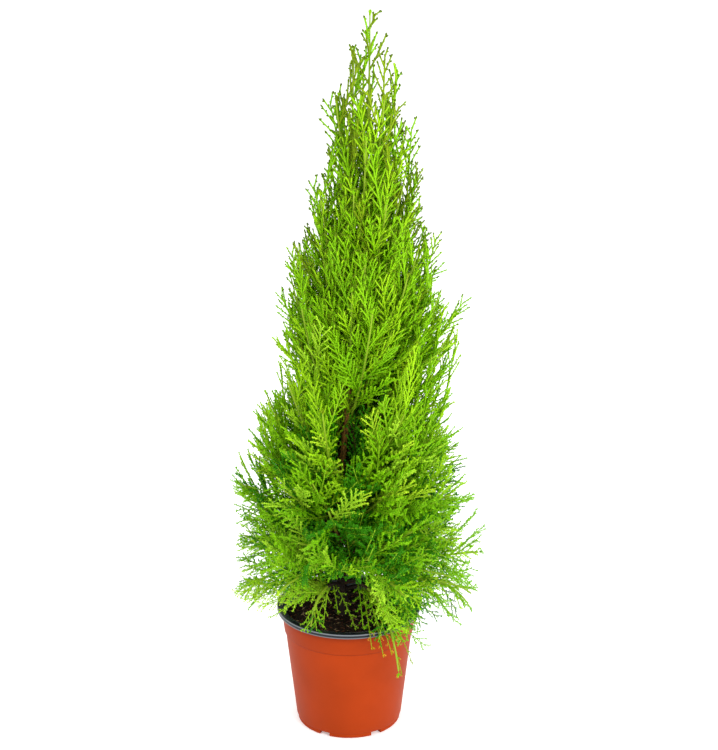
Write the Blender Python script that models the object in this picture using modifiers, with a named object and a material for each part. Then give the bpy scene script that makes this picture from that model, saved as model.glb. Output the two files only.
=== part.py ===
# A lemon cypress in a plastic nursery pot, in metres, +Z up.
# The origin is the middle of the pot's underside. +X is the plant's right and -Y its front.
# The trunk stands whole through the crown. Each branch is one smooth line: a bare bough,
# then a mass of foliage whose stem carries on along the same line.

import math
import random

import bmesh
import bpy
from mathutils import Matrix, Vector

# Pot: a thin tapered shell with a rolled rim, a collar under it and a ring of feet.
POT_HEIGHT = 0.120
RIM_RADIUS = 0.070
RIM_SKIRT = 0.0045
MOUTH_RADIUS = 0.0634
COLLAR_BOTTOM = 0.095
COLLAR_STEP = 0.0011
WALL_TOP_RADIUS = 0.0644
BASE_RADIUS = 0.0516
RIM_EDGE = 0.0009
WALL = 0.0014
FLOOR = 0.0016
FOOT_HEIGHT = 0.0042
FOOT_INSET = 0.0012
FOOT_WIDTH = 0.010
PAD_RADIUS = 0.018
FEET = 6
FOOT_GAP_ANGLE = math.radians(12)
FIRST_GAP_ANGLE = math.radians(-58)
FOOT_GAP_LENGTH = 0.020
DRAIN_RADIUS = 0.0035
DRAIN_CIRCLE = 0.030
DRAIN_SIDES = 8
POT_SIDES = 36

# Soil: one plug that fills the pot and is flat round the trunk's foot.
SOIL_LEVEL = 0.1095
SOIL_EDGE_DROP = 0.003
SOIL_FLAT_RADIUS = 0.014
SOIL_SHOULDER = 0.8

# Solids that touch keep this much apart. The trunk's eight sides need a little more.
GAP = 0.0003
TRUNK_ROOM = 1.15

# Trunk: height, sideways place, place towards the back, and radius.
TRUNK = (
    (SOIL_LEVEL + GAP, -0.006, 0.002, 0.0082),
    (SOIL_LEVEL + 0.004, -0.006, 0.002, 0.0066),
    (0.124, -0.0062, 0.002, 0.0050),
    (0.170, -0.0085, 0.004, 0.0041),
    (0.225, -0.0090, 0.005, 0.0035),
    (0.280, -0.0045, 0.004, 0.0031),
    (0.350, 0.0015, 0.001, 0.0027),
    (0.430, 0.0075, -0.002, 0.0023),
    (0.510, 0.0135, -0.002, 0.0019),
    (0.580, 0.0180, 0.000, 0.0015),
    (0.612, 0.0190, 0.001, 0.0013),
)

# The crown's outline: height, half width, and how far its middle stands to the right.
CROWN = (
    (0.070, 0.074, 0.014),
    (0.100, 0.100, 0.011),
    (0.130, 0.119, 0.010),
    (0.200, 0.121, 0.0105),
    (0.250, 0.113, 0.006),
    (0.300, 0.097, 0.003),
    (0.350, 0.084, 0.010),
    (0.400, 0.084, 0.018),
    (0.450, 0.069, 0.016),
    (0.500, 0.055, 0.018),
    (0.550, 0.043, 0.018),
    (0.600, 0.035, 0.018),
    (0.640, 0.023, 0.018),
    (0.672, 0.010, 0.0195),
    (0.684, 0.002, 0.0195),
)

# Tiers of branches from the ground up: name, number, foot height, tip height, share of the
# outline reached, how far out and how high above the foot the bend stands, share that is
# bare bough, azimuth of the first in degrees, and number of shoots on each mass.
TIERS = (
    ("skirt", 6, 0.133, 0.122, 0.98, 0.80, 0.034, 0.34, 0, 7),
    ("low", 6, 0.152, 0.182, 0.98, 0.60, 0.026, 0.34, -14, 7),
    ("spread", 5, 0.178, 0.255, 0.98, 0.60, 0.046, 0.34, 188, 8),
    ("rise", 6, 0.218, 0.340, 0.97, 0.62, 0.050, 0.0, 4, 8),
    ("middle", 6, 0.290, 0.432, 0.97, 0.65, 0.048, 0.0, -20, 7),
    ("upper", 4, 0.392, 0.528, 0.97, 0.65, 0.046, 0.0, 20, 8),
    ("crest", 4, 0.488, 0.608, 0.97, 0.65, 0.042, 0.0, 28, 7),
)
AZIMUTH_JITTER = 6.0
HEIGHT_JITTER = 0.008
FOOT_STAGGER = 0.0025
BRANCH_SEED = 7

# Branches that end elsewhere than their tier: one is short and leaves the soil in view, and
# one hangs over the pot's rim. Tip height, and share of the outline reached.
OWN_TIPS = {"skirt_5": (0.118, 0.72), "skirt_6": (0.082, 0.98)}

# The two leaders: where each one's tip is, and its number of shoots. The first carries on from
# the trunk's tip. The second leaves the trunk lower down and leans out before it stands up.
LEADER_TIP = Vector((0.0196, 0.0, 0.685))
LEADER_SHOOTS = 6
SECOND_LEADER_FOOT = 0.450
SECOND_LEADER_TIP = Vector((0.0056, 0.004, 0.654))
SECOND_LEADER_LEAN = 0.004
SECOND_LEADER_SHOOTS = 9

# Branch thickness: its share of the trunk's at the foot, and the radius at the tip.
BRANCH_SHARE = 0.46
TIP_RADIUS = 0.0007
LEADER_RADIUS = 0.0012

# Blades, as shares of their length or width: where the teeth begin, how far they run, how far
# a tooth's tip and the notch behind it stand ahead of its start, and the tooth's breadth.
TEETH = 3
TEETH_FROM = 0.10
TEETH_RUN = 0.70
TOOTH_TIP = 0.30
TOOTH_NOTCH = 0.20
TOOTH_BREADTH_FROM = 0.32
TOOTH_BREADTH_RUN = 0.55
BLADE_STALK = 0.2
BLADE_STALK_WIDTH = 0.07

# Shoots: toothed blades that stand for a feathered spray, and the twigs that fork.
SHOOT_LENGTH = 0.070
SHOOT_WIDTH = 0.42
SHOOT_OF_STEM = 0.7
SHOOT_VARIES = (0.9, 1.1)
SHOOT_THICKNESS = 0.0009
SHOOT_TAPER = 0.35
FIRST_STEP = 0.35
SHOOT_ANGLE_FOOT = math.radians(50)
SHOOT_ANGLE_TIP = math.radians(26)
UPRIGHT_CLOSES = 0.35
FACES_OUT = 0.7
FACES_UP = 0.02
GOLDEN_ANGLE = math.radians(137.5)
KNOT_STEPS = (0.0, 0.04, 0.36, 0.68, 1.0)
FIRST_SHOOT = 0.10
SHORTER_TRIES = (1.0, 0.8, 0.64, 0.5, 0.38)
STEM_END = 0.985
STEM_PAST_TIP = 0.004
CLEARANCE = 0.0012
CROWN_SPARE = 0.006

BARK = (0.16, 0.085, 0.045, 1)
GREEN = (0.21, 0.43, 0.035, 1)
TERRACOTTA = (0.52, 0.10, 0.03, 1)
PEAT = (0.030, 0.017, 0.010, 1)


def clear_scene():
    for obj in list(bpy.data.objects):
        bpy.data.objects.remove(obj, do_unlink=True)


def material(name, colour, roughness):
    found = bpy.data.materials.get(name) or bpy.data.materials.new(name)
    found.use_nodes = True
    shader = found.node_tree.nodes["Principled BSDF"]
    shader.inputs["Base Color"].default_value = colour
    shader.inputs["Roughness"].default_value = roughness
    return found


def new_collection(name):
    collection = bpy.data.collections.new(name)
    bpy.context.scene.collection.children.link(collection)
    return collection


def add(name, data, collection, finish=None):
    obj = bpy.data.objects.new(name, data)
    collection.objects.link(obj)
    if finish:
        data.materials.append(finish)
    return obj


def between(rows, height):
    """The row at a height, worked out between the rows of a table that starts with heights."""
    if height <= rows[0][0]:
        return rows[0][1:]
    for low, high in zip(rows, rows[1:]):
        if height <= high[0]:
            share = (height - low[0]) / (high[0] - low[0])
            return tuple(a + (b - a) * share for a, b in zip(low[1:], high[1:]))
    return rows[-1][1:]


def trunk_at(height):
    x, y, radius = between(TRUNK, height)
    return Vector((x, y, height)), radius


def in_crown(point):
    half_width, middle = between(CROWN, point.z)
    inside = (point.xy - Vector((middle, 0))).length <= half_width + CROWN_SPARE
    return inside and point.z < CROWN[-1][0]


def turned(name, profile, collection, finish):
    """A solid of revolution. The profile runs from the axis over the top and down the outside."""
    mesh = bpy.data.meshes.new(name)
    edges = [(i, i + 1) for i in range(len(profile) - 1)]
    mesh.from_pydata([(radius, 0, height) for radius, height in profile], edges, [])
    obj = add(name, mesh, collection, finish)
    screw = obj.modifiers.new("Screw", "SCREW")
    screw.steps = screw.render_steps = POT_SIDES
    screw.use_merge_vertices = True
    screw.merge_threshold = 0.00001
    return obj


def limb(name, points, radii, collection, finish, resolution):
    """A tapering round limb along points, with flat ends."""
    curve = bpy.data.curves.new(name, "CURVE")
    curve.dimensions = "3D"
    curve.bevel_depth = 1.0
    curve.bevel_resolution = resolution
    curve.use_fill_caps = True
    spline = curve.splines.new("POLY")
    spline.points.add(len(points) - 1)
    for knot, point, radius in zip(spline.points, points, radii):
        knot.co = (*point, 1)
        knot.radius = radius
    return add(name, curve, collection, finish)


def as_mesh(obj, collection):
    """The mesh of a curve object, with its caps welded, in the curve's place."""
    evaluated = obj.evaluated_get(bpy.context.evaluated_depsgraph_get())
    mesh = bpy.data.meshes.new_from_object(evaluated)
    shape = bmesh.new()
    shape.from_mesh(mesh)
    bmesh.ops.remove_doubles(shape, verts=shape.verts, dist=1e-6)
    bmesh.ops.recalc_face_normals(shape, faces=shape.faces)
    shape.to_mesh(mesh)
    shape.free()
    name, place = obj.name, obj.matrix_world.copy()
    bpy.data.objects.remove(obj)
    mesh.name = name
    made = add(name, mesh, collection)
    made.matrix_world = place
    return made


def cut(target, cutter):
    """Takes the cutter's shape, or a whole collection of cutters, out of the target."""
    boolean = target.modifiers.new("Cut", "BOOLEAN")
    boolean.operation = "DIFFERENCE"
    boolean.solver = "EXACT"
    if isinstance(cutter, bpy.types.Collection):
        boolean.operand_type = "COLLECTION"
        boolean.collection = cutter
    else:
        boolean.object = cutter


def apply_modifiers(obj):
    evaluated = obj.evaluated_get(bpy.context.evaluated_depsgraph_get())
    mesh = bpy.data.meshes.new_from_object(evaluated)
    obj.modifiers.clear()
    obj.data = mesh


def as_cutter(obj):
    obj.hide_render = True
    obj.display_type = "WIRE"


def wall_radius(height):
    """The outside of the pot's wall, below the collar."""
    taper = (WALL_TOP_RADIUS - BASE_RADIUS) / (POT_HEIGHT - RIM_SKIRT - FOOT_HEIGHT)
    return BASE_RADIUS + taper * (height - FOOT_HEIGHT)


def pot_profile():
    floor_top = FOOT_HEIGHT + FLOOR
    rim_bottom = POT_HEIGHT - RIM_SKIRT
    foot = BASE_RADIUS - FOOT_INSET
    return (
        (0, floor_top),
        (wall_radius(floor_top) - WALL, floor_top),
        (MOUTH_RADIUS, POT_HEIGHT - RIM_EDGE),
        (MOUTH_RADIUS + RIM_EDGE, POT_HEIGHT),
        (RIM_RADIUS - RIM_EDGE, POT_HEIGHT),
        (RIM_RADIUS, POT_HEIGHT - RIM_EDGE),
        (RIM_RADIUS, rim_bottom),
        (wall_radius(rim_bottom) + COLLAR_STEP, rim_bottom),
        (wall_radius(COLLAR_BOTTOM) + COLLAR_STEP, COLLAR_BOTTOM),
        (wall_radius(COLLAR_BOTTOM), COLLAR_BOTTOM - COLLAR_STEP),
        (BASE_RADIUS, FOOT_HEIGHT),
        (foot, FOOT_HEIGHT),
        (foot, 0),
        (foot - FOOT_WIDTH, 0),
        (foot - FOOT_WIDTH, FOOT_HEIGHT),
        (PAD_RADIUS, FOOT_HEIGHT),
        (PAD_RADIUS, 0),
        (0, 0),
    )


def pot_cutters(cutters):
    """The gaps between the feet, and a drain hole inside each gap."""
    wide = BASE_RADIUS * 2 * math.tan(FOOT_GAP_ANGLE / 2)
    middle = BASE_RADIUS - FOOT_INSET - FOOT_WIDTH / 2
    for number in range(FEET):
        turn = Matrix.Rotation(FIRST_GAP_ANGLE + math.tau * number / FEET, 4, "Z")
        gap = bmesh.new()
        bmesh.ops.create_cube(gap, size=1)
        scale = Matrix.Diagonal((FOOT_GAP_LENGTH, wide, 2 * (FOOT_HEIGHT - GAP), 1))
        gap.transform(turn @ Matrix.Translation((middle, 0, 0)) @ scale)
        mesh = bpy.data.meshes.new("foot_gap")
        gap.to_mesh(mesh)
        gap.free()
        as_cutter(add(f"foot_gap_{number}", mesh, cutters))

        drain = bmesh.new()
        bmesh.ops.create_cone(
            drain,
            cap_ends=True,
            segments=DRAIN_SIDES,
            radius1=DRAIN_RADIUS,
            radius2=DRAIN_RADIUS,
            depth=4 * FOOT_HEIGHT,
        )
        drain.transform(turn @ Matrix.Translation((DRAIN_CIRCLE, 0, 0)))
        mesh = bpy.data.meshes.new("drain")
        drain.to_mesh(mesh)
        drain.free()
        as_cutter(add(f"drain_{number}", mesh, cutters))


def make_pot(collection, cutters):
    pot = turned("pot", pot_profile(), collection, material("terracotta_plastic", TERRACOTTA, 0.38))
    pot_cutters(cutters)
    cut(pot, cutters)
    return pot


def make_soil(collection):
    floor_top = FOOT_HEIGHT + FLOOR + GAP
    edge_height = SOIL_LEVEL - SOIL_EDGE_DROP
    inner_low = wall_radius(floor_top) - WALL
    inner_high = inner_low + (MOUTH_RADIUS - inner_low) * edge_height / POT_HEIGHT
    profile = (
        (0, SOIL_LEVEL),
        (SOIL_FLAT_RADIUS, SOIL_LEVEL),
        (inner_high * SOIL_SHOULDER, SOIL_LEVEL - SOIL_EDGE_DROP / 3),
        (inner_high - 2 * GAP, edge_height),
        (inner_low - 2 * GAP, floor_top),
        (0, floor_top),
    )
    return turned("soil", profile, collection, material("peat", PEAT, 0.95))


class Branch:
    """One smooth line from the trunk to a tip. The first share of it is bare bough."""

    def __init__(self, name, foot, bend, tip, bare, shoots, radius):
        self.name = name
        self.foot, self.bend, self.tip = foot, bend, tip
        self.bare, self.shoots, self.radius = bare, shoots, radius

    def at(self, share):
        rest = 1 - share
        return self.foot * rest * rest + self.bend * 2 * rest * share + self.tip * share * share

    def heading(self, share):
        return ((self.bend - self.foot) * (1 - share) + (self.tip - self.bend) * share).normalized()

    def length(self):
        return sum((self.at((i + 1) / 8) - self.at(i / 8)).length for i in range(8))

    def radius_at(self, share):
        return self.radius + (TIP_RADIUS - self.radius) * share

    def knots(self, start, end):
        """Shares of the line for a limb's knots, with a short step at each end so that its
        flat ends stand square to the line."""
        return [start + (end - start) * step for step in KNOT_STEPS]


def tier_branches():
    """Every branch of the tiers. Its tip stands on the crown's outline."""
    dice = random.Random(BRANCH_SEED)
    made = []
    for name, number, foot_height, tip_height, reach, out, up, bare, first, shoots in TIERS:
        for index in range(number):
            azimuth = math.radians(
                first + 360 * index / number + dice.uniform(-AZIMUTH_JITTER, AZIMUTH_JITTER)
            )
            foot, girth = trunk_at(foot_height + FOOT_STAGGER * (index * 2 % number))
            height = tip_height + dice.uniform(-HEIGHT_JITTER, HEIGHT_JITTER)
            height, far = OWN_TIPS.get(f"{name}_{index + 1}", (height, reach))
            half_width, middle = between(CROWN, height)
            side = Vector((math.cos(azimuth), math.sin(azimuth), 0))
            tip = Vector((middle, 0, height)) + side * half_width * far
            bend = foot + (tip - foot) * out
            bend.z = foot.z + up
            radius = girth * BRANCH_SHARE
            made.append(Branch(f"{name}_{index + 1}", foot, bend, tip, bare, shoots, radius))
    return made


def leader_branches():
    """The leader above the trunk's tip, and the second leader beside it."""
    top, _ = trunk_at(TRUNK[-1][0])
    leader = Branch(
        "leader", top, top.lerp(LEADER_TIP, 0.5), LEADER_TIP, 0.0, LEADER_SHOOTS, LEADER_RADIUS
    )
    foot, _ = trunk_at(SECOND_LEADER_FOOT)
    bend = foot.lerp(SECOND_LEADER_TIP, 0.5)
    bend.x = SECOND_LEADER_TIP.x - SECOND_LEADER_LEAN
    second = Branch(
        "second_leader",
        foot,
        bend,
        SECOND_LEADER_TIP,
        0.0,
        SECOND_LEADER_SHOOTS,
        LEADER_RADIUS,
    )
    return [leader, second]


def line_distance(point, start, end):
    run = end - start
    share = max(0.0, min(1.0, (point - start).dot(run) / run.length_squared))
    return (point - start - run * share).length


class Space:
    """Says whether a point is in one mass's own space and clear of every limb."""

    def __init__(self, branches):
        self.lines = {}
        for branch in branches:
            shares = [branch.bare + (1 - branch.bare) * i / 6 for i in range(7)]
            points = [branch.at(share) for share in shares]
            self.lines[branch.name] = list(zip(points, points[1:]))
        self.limbs = []
        for low, high in zip(TRUNK, TRUNK[1:]):
            self.limbs.append((Vector((*low[1:3], low[0])), Vector((*high[1:3], high[0])), low[3]))
        for branch in branches:
            if branch.bare:
                shares = [branch.bare * i / 3 for i in range(4)]
                points = [branch.at(share) for share in shares]
                for start, end in zip(points, points[1:]):
                    self.limbs.append((start, end, branch.radius))

    def holds(self, name, point):
        if point.z < POT_HEIGHT + CLEARANCE and point.xy.length < RIM_RADIUS + CLEARANCE:
            return False
        own = min(line_distance(point, *line) for line in self.lines[name])
        for other, lines in self.lines.items():
            if other == name:
                continue
            if min(line_distance(point, *line) for line in lines) < own + CLEARANCE:
                return False
        return all(
            line_distance(point, start, end) > radius + CLEARANCE
            for start, end, radius in self.limbs
        )


def blade_outline():
    """A toothed blade's outline, one long and one wide at most, from its root to its tip.
    The teeth point forwards and stand by turns on each side."""
    sides = {-1: [(0.0, -BLADE_STALK_WIDTH / 2)], 1: [(0.0, BLADE_STALK_WIDTH / 2)]}
    for tooth in range(TEETH):
        side = -1 if tooth % 2 else 1
        start = TEETH_FROM + TEETH_RUN * tooth / TEETH
        wide = 0.5 * math.sin(math.pi * (TOOTH_BREADTH_FROM + TOOTH_BREADTH_RUN * tooth / TEETH))
        sides[side].append((start + TOOTH_TIP, side * wide))
        sides[side].append((start + TOOTH_NOTCH, side * BLADE_STALK_WIDTH))
    return sides[-1] + [(1.0, 0.0)] + sides[1][::-1]


OUTLINE = blade_outline()


def blade_mesh():
    """The blade as a flat outline given its thickness, one long, one wide and one thick."""
    curve = bpy.data.curves.new("blade", "CURVE")
    curve.dimensions = "2D"
    curve.fill_mode = "BOTH"
    curve.extrude = 0.5
    spline = curve.splines.new("POLY")
    spline.points.add(len(OUTLINE) - 1)
    for knot, (along, across) in zip(spline.points, OUTLINE):
        knot.co = (along, across, 0, 1)
    spline.use_cyclic_u = True
    obj = bpy.data.objects.new("blade", curve)
    bpy.context.scene.collection.objects.link(obj)
    made = as_mesh(obj, bpy.context.scene.collection)
    mesh = made.data
    bpy.data.objects.remove(made)
    return mesh


def frame_of(root, heading, flat):
    """A matrix with X along the heading and Z as near as can be to the way a blade faces."""
    side = flat.cross(heading).normalized()
    face = heading.cross(side)
    turn = Matrix((heading, side, face)).transposed().to_4x4()
    return Matrix.Translation(root) @ turn


def shoots_of(branch, dice):
    """The shoots of one mass, each (root, heading, way it faces, length, whether it is the
    tip). They stand in a spiral on the stem, and close up towards its tip."""
    stem = branch.length() * (1 - branch.bare)
    leafless = branch.bare or FIRST_SHOOT
    made = []
    roll = dice.uniform(0, math.tau)
    for index in range(branch.shoots):
        last = index == branch.shoots - 1
        along = (index + FIRST_STEP) / (branch.shoots - 1 + FIRST_STEP)
        share = leafless + (1 - leafless) * min(along, STEM_END)
        root, ahead = branch.at(share), branch.heading(share)
        across = ahead.orthogonal().normalized()
        across.rotate(Matrix.Rotation(roll, 3, ahead))
        roll += GOLDEN_ANGLE
        wide = SHOOT_ANGLE_FOOT * (1 - UPRIGHT_CLOSES * max(ahead.z, 0))
        lean = wide + (SHOOT_ANGLE_TIP - wide) * along
        heading = ahead if last else ahead * math.cos(lean) + across * math.sin(lean)
        length = min(SHOOT_LENGTH, stem * SHOOT_OF_STEM) * (1 - SHOOT_TAPER * along)
        length *= dice.uniform(*SHOOT_VARIES)
        if last:
            length = (branch.tip - root).length + STEM_PAST_TIP
        outwards = root - trunk_at(root.z)[0] + Vector((0, 0, FACES_UP))
        facing = outwards.normalized() * FACES_OUT + across * (1 - FACES_OUT)
        made.append((root, heading, facing, length, last))
    return made


def keep_inside(branch, space, shoot):
    """The longest of the shoot's tries that stays in its mass's space, or nothing."""
    root, heading, facing, length, last = shoot
    place = frame_of(root, heading, facing)
    for shorter in SHORTER_TRIES:
        size = length * shorter
        outline = [place @ Vector((a * size, b * size * SHOOT_WIDTH, 0)) for a, b in OUTLINE]
        outline = [point for point in outline if (point - root).length > size * BLADE_STALK]
        middles = [a.lerp(b, 0.5) for a, b in zip(outline, outline[1:])]
        if last or all(in_crown(point) for point in outline):
            if all(space.holds(branch.name, point) for point in outline + middles):
                return place, size
    return None


def drop_scraps(mesh):
    """Keeps a mesh's largest body and takes away any loose scrap."""
    shape = bmesh.new()
    shape.from_mesh(mesh)
    left, bodies = set(shape.faces), []
    while left:
        body, waiting = set(), [left.pop()]
        while waiting:
            face = waiting.pop()
            body.add(face)
            for edge in face.edges:
                near = [other for other in edge.link_faces if other in left]
                left.difference_update(near)
                waiting += near
        bodies.append(body)
    bodies.sort(key=len)
    scraps = [face for body in bodies[:-1] for face in body]
    bmesh.ops.delete(shape, geom=scraps, context="FACES")
    shape.to_mesh(mesh)
    shape.free()


def fuse(name, pieces, collection, finish):
    """Joins a mass's pieces by one union on their collection, then removes them."""
    stem = pieces[0]
    group = bpy.data.collections.new(name + "_pieces")
    bpy.context.scene.collection.children.link(group)
    for piece in pieces[1:]:
        group.objects.link(piece)
    union = stem.modifiers.new("Union", "BOOLEAN")
    union.operation = "UNION"
    union.operand_type = "COLLECTION"
    union.collection = group
    union.solver = "MANIFOLD"
    bpy.context.view_layer.update()
    apply_modifiers(stem)
    for piece in pieces[1:]:
        bpy.data.objects.remove(piece)
    bpy.data.collections.remove(group)
    drop_scraps(stem.data)
    stem.data.materials.clear()
    stem.data.materials.append(finish)
    return stem


def make_mass(branch, space, blades, collection, finish, trunk_cutter):
    dice = random.Random(branch.name)
    meets_an_end = branch.bare or branch.name == "leader"
    start = branch.bare + (GAP / branch.length() if meets_an_end else 0.0)
    shares = branch.knots(start, STEM_END)
    stem = limb(
        branch.name,
        [branch.at(share) for share in shares],
        [branch.radius_at(share) for share in shares],
        collection,
        None,
        0,
    )
    stem = as_mesh(stem, collection)
    if not meets_an_end:
        cut(stem, trunk_cutter)
        apply_modifiers(stem)
    pieces = [stem]
    for shoot in shoots_of(branch, dice):
        kept = keep_inside(branch, space, shoot)
        if kept is None:
            continue
        place, size = kept
        scale = Matrix.Diagonal((size, size * SHOOT_WIDTH, SHOOT_THICKNESS, 1))
        blade = dice.choice(blades).copy()
        blade.transform(place @ scale)
        pieces.append(bpy.data.objects.new("shoot", blade))
    return fuse(branch.name, pieces, collection, finish)


def make_bough(branch, collection, finish, trunk_cutter):
    shares = [branch.bare - share for share in branch.knots(0.0, branch.bare)][::-1]
    bough = limb(
        "bough_" + branch.name,
        [branch.at(share) for share in shares],
        [branch.radius_at(share) for share in shares],
        collection,
        None,
        1,
    )
    bough = as_mesh(bough, collection)
    cut(bough, trunk_cutter)
    apply_modifiers(bough)
    bough.data.materials.append(finish)
    return bough


def make_trunk(collection, finish):
    points = [Vector((x, y, height)) for height, x, y, _ in TRUNK]
    radii = [row[3] for row in TRUNK]
    return limb("trunk", points, radii, collection, finish, 2)


def make_trunk_cutter(cutters):
    """The trunk grown by the gap, which shapes the feet of what grows from it."""
    points = [Vector((x, y, height)) for height, x, y, _ in TRUNK]
    radii = [row[3] + GAP * TRUNK_ROOM for row in TRUNK]
    cutter = limb("trunk_room", points, radii, cutters, None, 2)
    cutter = as_mesh(cutter, cutters)
    as_cutter(cutter)
    return cutter


def main():
    clear_scene()
    parts = new_collection("lemon_cypress")
    pot_tools = new_collection("pot_cutters")
    trunk_tools = new_collection("trunk_cutters")
    bark = material("bark", BARK, 0.85)
    green = material("foliage", GREEN, 0.55)

    make_pot(parts, pot_tools)
    make_soil(parts)
    make_trunk(parts, bark)
    bpy.context.view_layer.update()
    trunk_cutter = make_trunk_cutter(trunk_tools)
    bpy.context.view_layer.update()

    branches = tier_branches() + leader_branches()
    space = Space(branches)
    blades = [blade_mesh()]
    blades.append(blades[0].copy())
    blades[1].transform(Matrix.Diagonal((1, -1, 1, 1)))
    blades[1].flip_normals()
    for branch in branches:
        if branch.bare:
            make_bough(branch, parts, bark, trunk_cutter)
        make_mass(branch, space, blades, parts, green, trunk_cutter)
    for blade in blades:
        bpy.data.meshes.remove(blade)


main()
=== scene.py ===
import math
import random

import bpy
import numpy as np
from mathutils import Matrix, Vector


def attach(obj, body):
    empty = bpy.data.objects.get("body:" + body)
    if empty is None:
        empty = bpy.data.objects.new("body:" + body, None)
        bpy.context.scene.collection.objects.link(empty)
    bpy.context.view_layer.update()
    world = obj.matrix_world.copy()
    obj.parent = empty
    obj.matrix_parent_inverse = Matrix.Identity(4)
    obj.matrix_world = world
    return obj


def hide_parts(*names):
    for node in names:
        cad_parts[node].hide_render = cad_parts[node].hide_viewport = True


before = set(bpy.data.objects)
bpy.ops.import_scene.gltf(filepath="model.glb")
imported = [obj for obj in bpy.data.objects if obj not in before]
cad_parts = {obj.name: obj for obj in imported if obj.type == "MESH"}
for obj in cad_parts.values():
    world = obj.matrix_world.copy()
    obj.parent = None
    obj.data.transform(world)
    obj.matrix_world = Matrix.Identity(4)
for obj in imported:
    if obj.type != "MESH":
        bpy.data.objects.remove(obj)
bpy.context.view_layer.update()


# how the plant grows: the same lines as the solids
growth = {
    "gap": 0.0003,
    "seed": 7,
    "trunk": (  # height, right, back, radius
        (0.1098, -0.006, 0.002, 0.0082), (0.1135, -0.006, 0.002, 0.0066), (0.124, -0.0062, 0.002, 0.005),
        (0.17, -0.0085, 0.004, 0.0041), (0.225, -0.009, 0.005, 0.0035), (0.28, -0.0045, 0.004, 0.0031),
        (0.35, 0.0015, 0.001, 0.0027), (0.43, 0.0075, -0.002, 0.0023), (0.51, 0.0135, -0.002, 0.0019),
        (0.58, 0.018, 0.0, 0.0015), (0.612, 0.019, 0.001, 0.0013),
    ),
    "crown": (  # height, half width, middle
        (0.07, 0.074, 0.014), (0.1, 0.1, 0.011), (0.13, 0.119, 0.01), (0.2, 0.121, 0.0105),
        (0.25, 0.113, 0.006), (0.3, 0.097, 0.003), (0.35, 0.084, 0.01), (0.4, 0.084, 0.018),
        (0.45, 0.069, 0.016), (0.5, 0.055, 0.018), (0.55, 0.043, 0.018), (0.6, 0.035, 0.018),
        (0.64, 0.023, 0.018), (0.672, 0.01, 0.0195), (0.684, 0.002, 0.0195),
    ),
    "edge": (  # height, leftmost and rightmost foliage: the outline that the fine sprays keep to
        (0.07, -0.05, 0.074), (0.1, -0.072, 0.098), (0.132, -0.106, 0.124), (0.165, -0.107, 0.114),
        (0.197, -0.103, 0.127), (0.228, -0.111, 0.122), (0.259, -0.103, 0.12), (0.3, -0.094, 0.098),
        (0.322, -0.088, 0.096), (0.338, -0.065, 0.096), (0.352, -0.061, 0.096), (0.38, -0.067, 0.101),
        (0.407, -0.065, 0.104), (0.436, -0.054, 0.081), (0.464, -0.053, 0.079), (0.492, -0.042, 0.076),
        (0.52, -0.029, 0.065), (0.547, -0.021, 0.057), (0.574, -0.013, 0.056), (0.601, -0.012, 0.05),
        (0.628, -0.003, 0.045), (0.654, 0.002, 0.036), (0.672, 0.008, 0.03), (0.688, 0.014, 0.025),
    ),
    "tiers": (  # name, number, foot, tip, reach, bend out, bend up, bare, first azimuth, shoots
        ("skirt", 6, 0.133, 0.122, 0.98, 0.8, 0.034, 0.34, 0, 7),
        ("low", 6, 0.152, 0.182, 0.98, 0.6, 0.026, 0.34, -14, 7),
        ("spread", 5, 0.178, 0.255, 0.98, 0.6, 0.046, 0.34, 188, 8),
        ("rise", 6, 0.218, 0.34, 0.97, 0.62, 0.05, 0.0, 4, 8),
        ("middle", 6, 0.29, 0.432, 0.97, 0.65, 0.048, 0.0, -20, 7),
        ("upper", 4, 0.392, 0.528, 0.97, 0.65, 0.046, 0.0, 20, 8),
        ("crest", 4, 0.488, 0.608, 0.97, 0.65, 0.042, 0.0, 28, 7),
    ),
    "azimuthJitter": 6.0,
    "heightJitter": 0.008,
    "footStagger": 0.0025,
    "ownTips": {"skirt_5": (0.118, 0.72), "skirt_6": (0.082, 0.98)},
    "leaderTip": (0.0196, 0.0, 0.685),
    "leaderShoots": 6,
    "secondFoot": 0.45,
    "secondTip": (0.0056, 0.004, 0.654),
    "secondBow": 0.004,
    "secondShoots": 9,
    "branchShare": 0.46,
    "tipRadius": 0.0007,
    "leaderRadius": 0.0012,
    "shootLength": 0.07,
    "shootOfStem": 0.7,  # no shoot is longer than this share of its stem
    "shootJitter": (0.9, 1.1),
    "shootTaper": 0.35,
    "shootFoot": math.radians(50),
    "shootTip": math.radians(26),
    "shootEnds": (0.35, 0.65),  # spare room before the first shoot and after the last, in shoots
    "uprightCloses": 0.35,
    "facesOut": 0.7,
    "facesUp": 0.02,
    "firstShoot": 0.1,
    "stemEnd": 0.985,
    "pastTip": 0.001,
    "golden": math.radians(137.5),
    "fineTurn": 1.62,  # the finer shoots turn by this many golden angles
    "tries": (1.0, 0.8, 0.64, 0.5, 0.38),
}


def between(rows, height):
    heights = [row[0] for row in rows]
    return [np.interp(height, heights, [row[i] for row in rows]) for i in range(1, len(rows[0]))]


def trunkAt(height):
    x, y, radius = between(growth["trunk"], height)
    return Vector((x, y, height)), float(radius)


def makeBranch(name, line, bare, shoots, girth, isFill=False):
    foot, bend, tip = line
    tier = name.rsplit("_", 1)[0] if name[-1].isdigit() else "crest"
    return {"name": name, "tier": tier, "foot": foot, "bend": bend, "tip": tip, "bare": bare,
            "shoots": shoots, "girth": girth, "isFill": isFill}


def pointOn(branch, share):
    rest = 1 - share
    return branch["foot"] * rest * rest + branch["bend"] * 2 * rest * share + branch["tip"] * share * share


def headingOn(branch, share):
    first, last = branch["bend"] - branch["foot"], branch["tip"] - branch["bend"]
    return (first * (1 - share) + last * share).normalized()


def lengthOf(branch):
    return sum((pointOn(branch, (i + 1) / 8) - pointOn(branch, i / 8)).length for i in range(8))


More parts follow.
